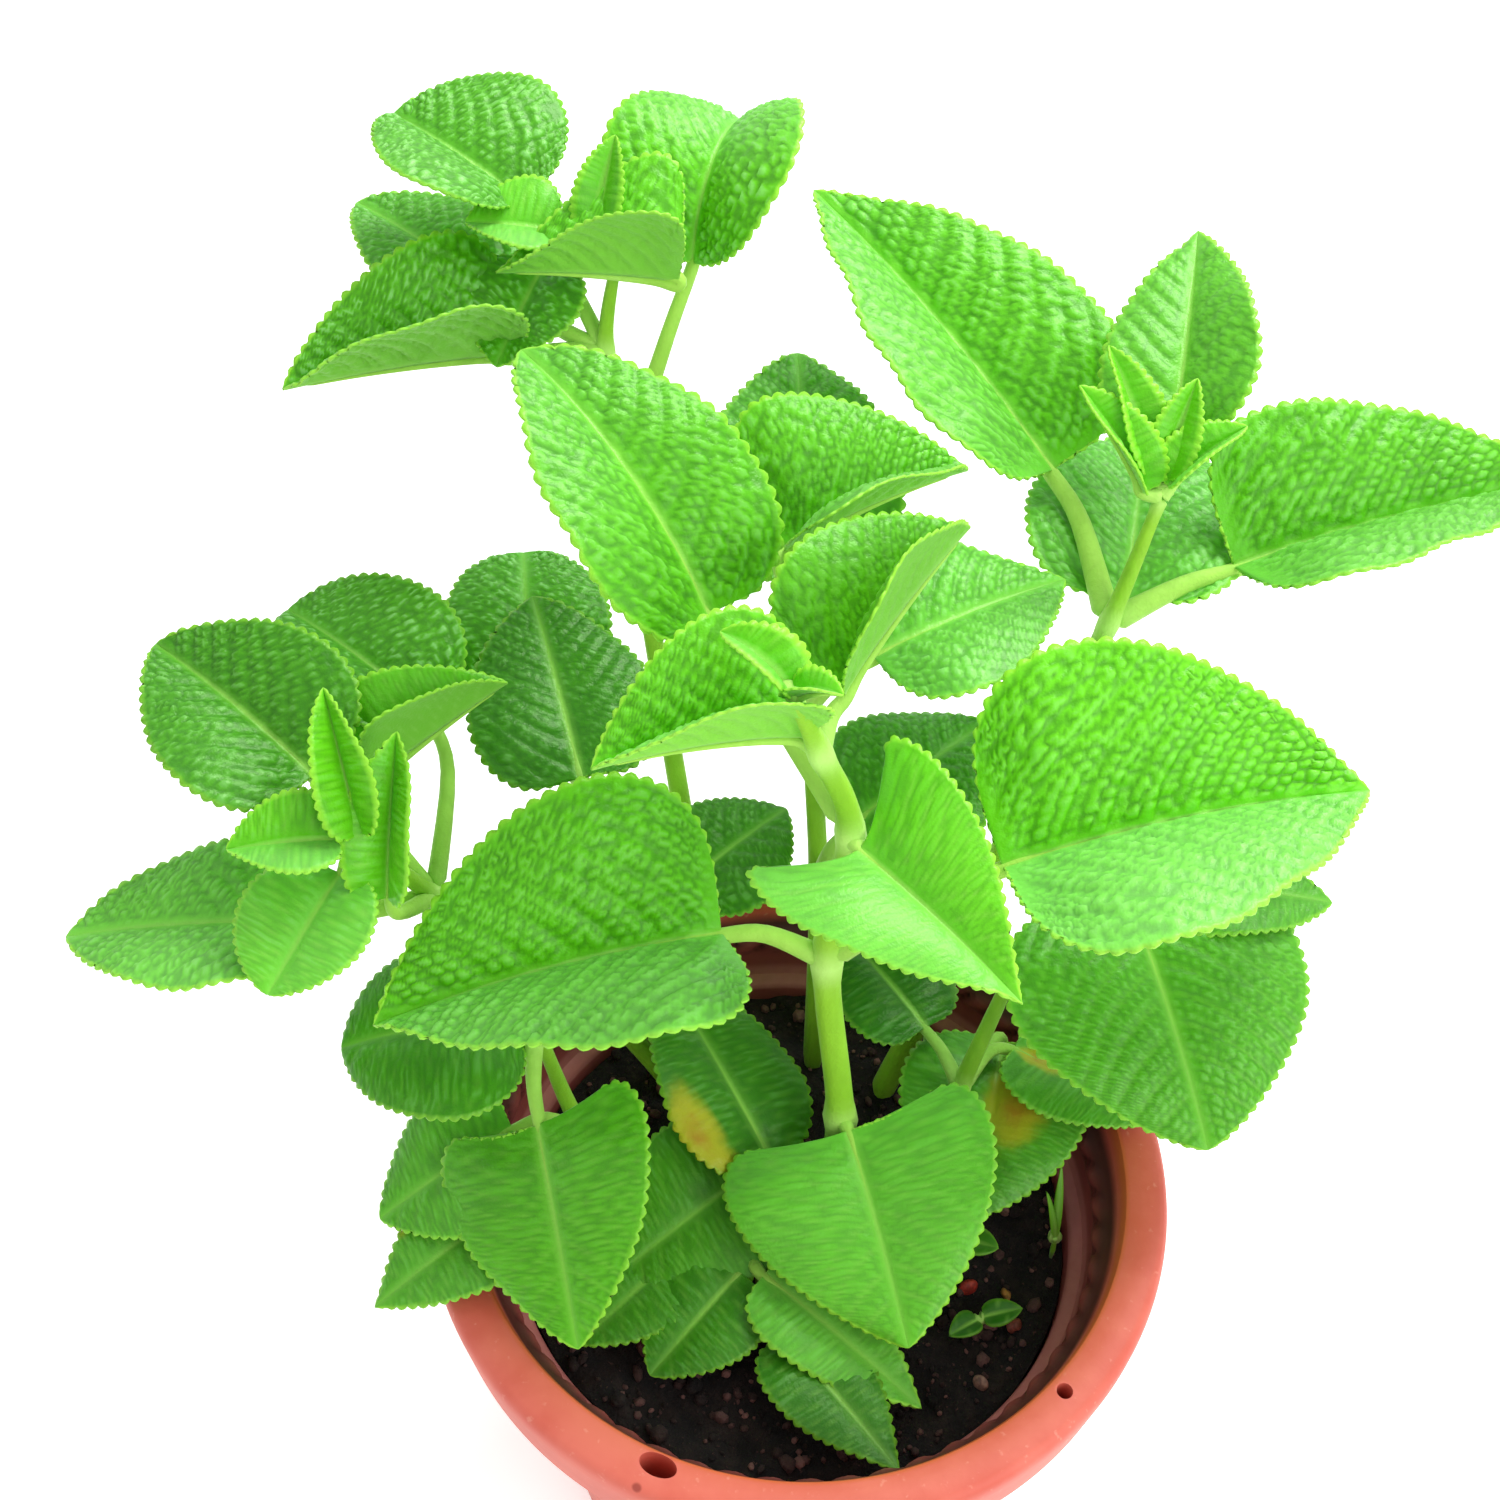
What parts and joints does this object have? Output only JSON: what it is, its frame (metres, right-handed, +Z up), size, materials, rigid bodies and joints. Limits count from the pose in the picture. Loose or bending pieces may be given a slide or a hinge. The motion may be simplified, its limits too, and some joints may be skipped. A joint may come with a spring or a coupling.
{
  "type": "potted herb",
  "caption": "Leafy ajwain herb with broad, quilted, scallop-edged leaves on upright stems, rooted in dark soil in a round tapered plastic pot with a wide flat rim.",
  "frame": {"origin": "centre of the pot's flat base, on the surface it stands on", "axes": "+Z up; -Y towards the viewer in the picture, so +X is to the right there"},
  "size_m": [0.3978, 0.3176, 0.3824],
  "materials": {
    "pot": "satin, faintly mottled moulded plastic",
    "soil": "damp, crumbly, nearly black",
    "stem_centre": "soft, finely hairy living leaf and stem",
    "stem_back_left": "soft, finely hairy living leaf and stem",
    "stem_right": "soft, finely hairy living leaf and stem",
    "stem_left": "soft, finely hairy living leaf and stem",
    "stem_low_left": "soft, finely hairy living leaf and stem",
    "stem_front": "soft, finely hairy living leaf and stem",
    "stem_low_right": "soft, finely hairy living leaf and stem",
    "stem_back": "soft, finely hairy living leaf and stem",
    "stem_mid_left": "soft, finely hairy living leaf and stem",
    "seedling_large": "soft seedling leaf",
    "seedling_small": "soft seedling leaf",
    "grass_sprout": "thin grass blade"
  },
  "bodies": {
    "root": {"pot": "pot", "soil": "soil", "stem_centre": "stem_centre", "stem_back_left": "stem_back_left", "stem_right": "stem_right", "stem_left": "stem_left", "stem_low_left": "stem_low_left", "stem_front": "stem_front", "stem_low_right": "stem_low_right", "stem_back": "stem_back", "stem_mid_left": "stem_mid_left", "seedling_large": "seedling_large", "seedling_small": "seedling_small", "grass_sprout": "grass_sprout"}
  },
  "joints": []
}
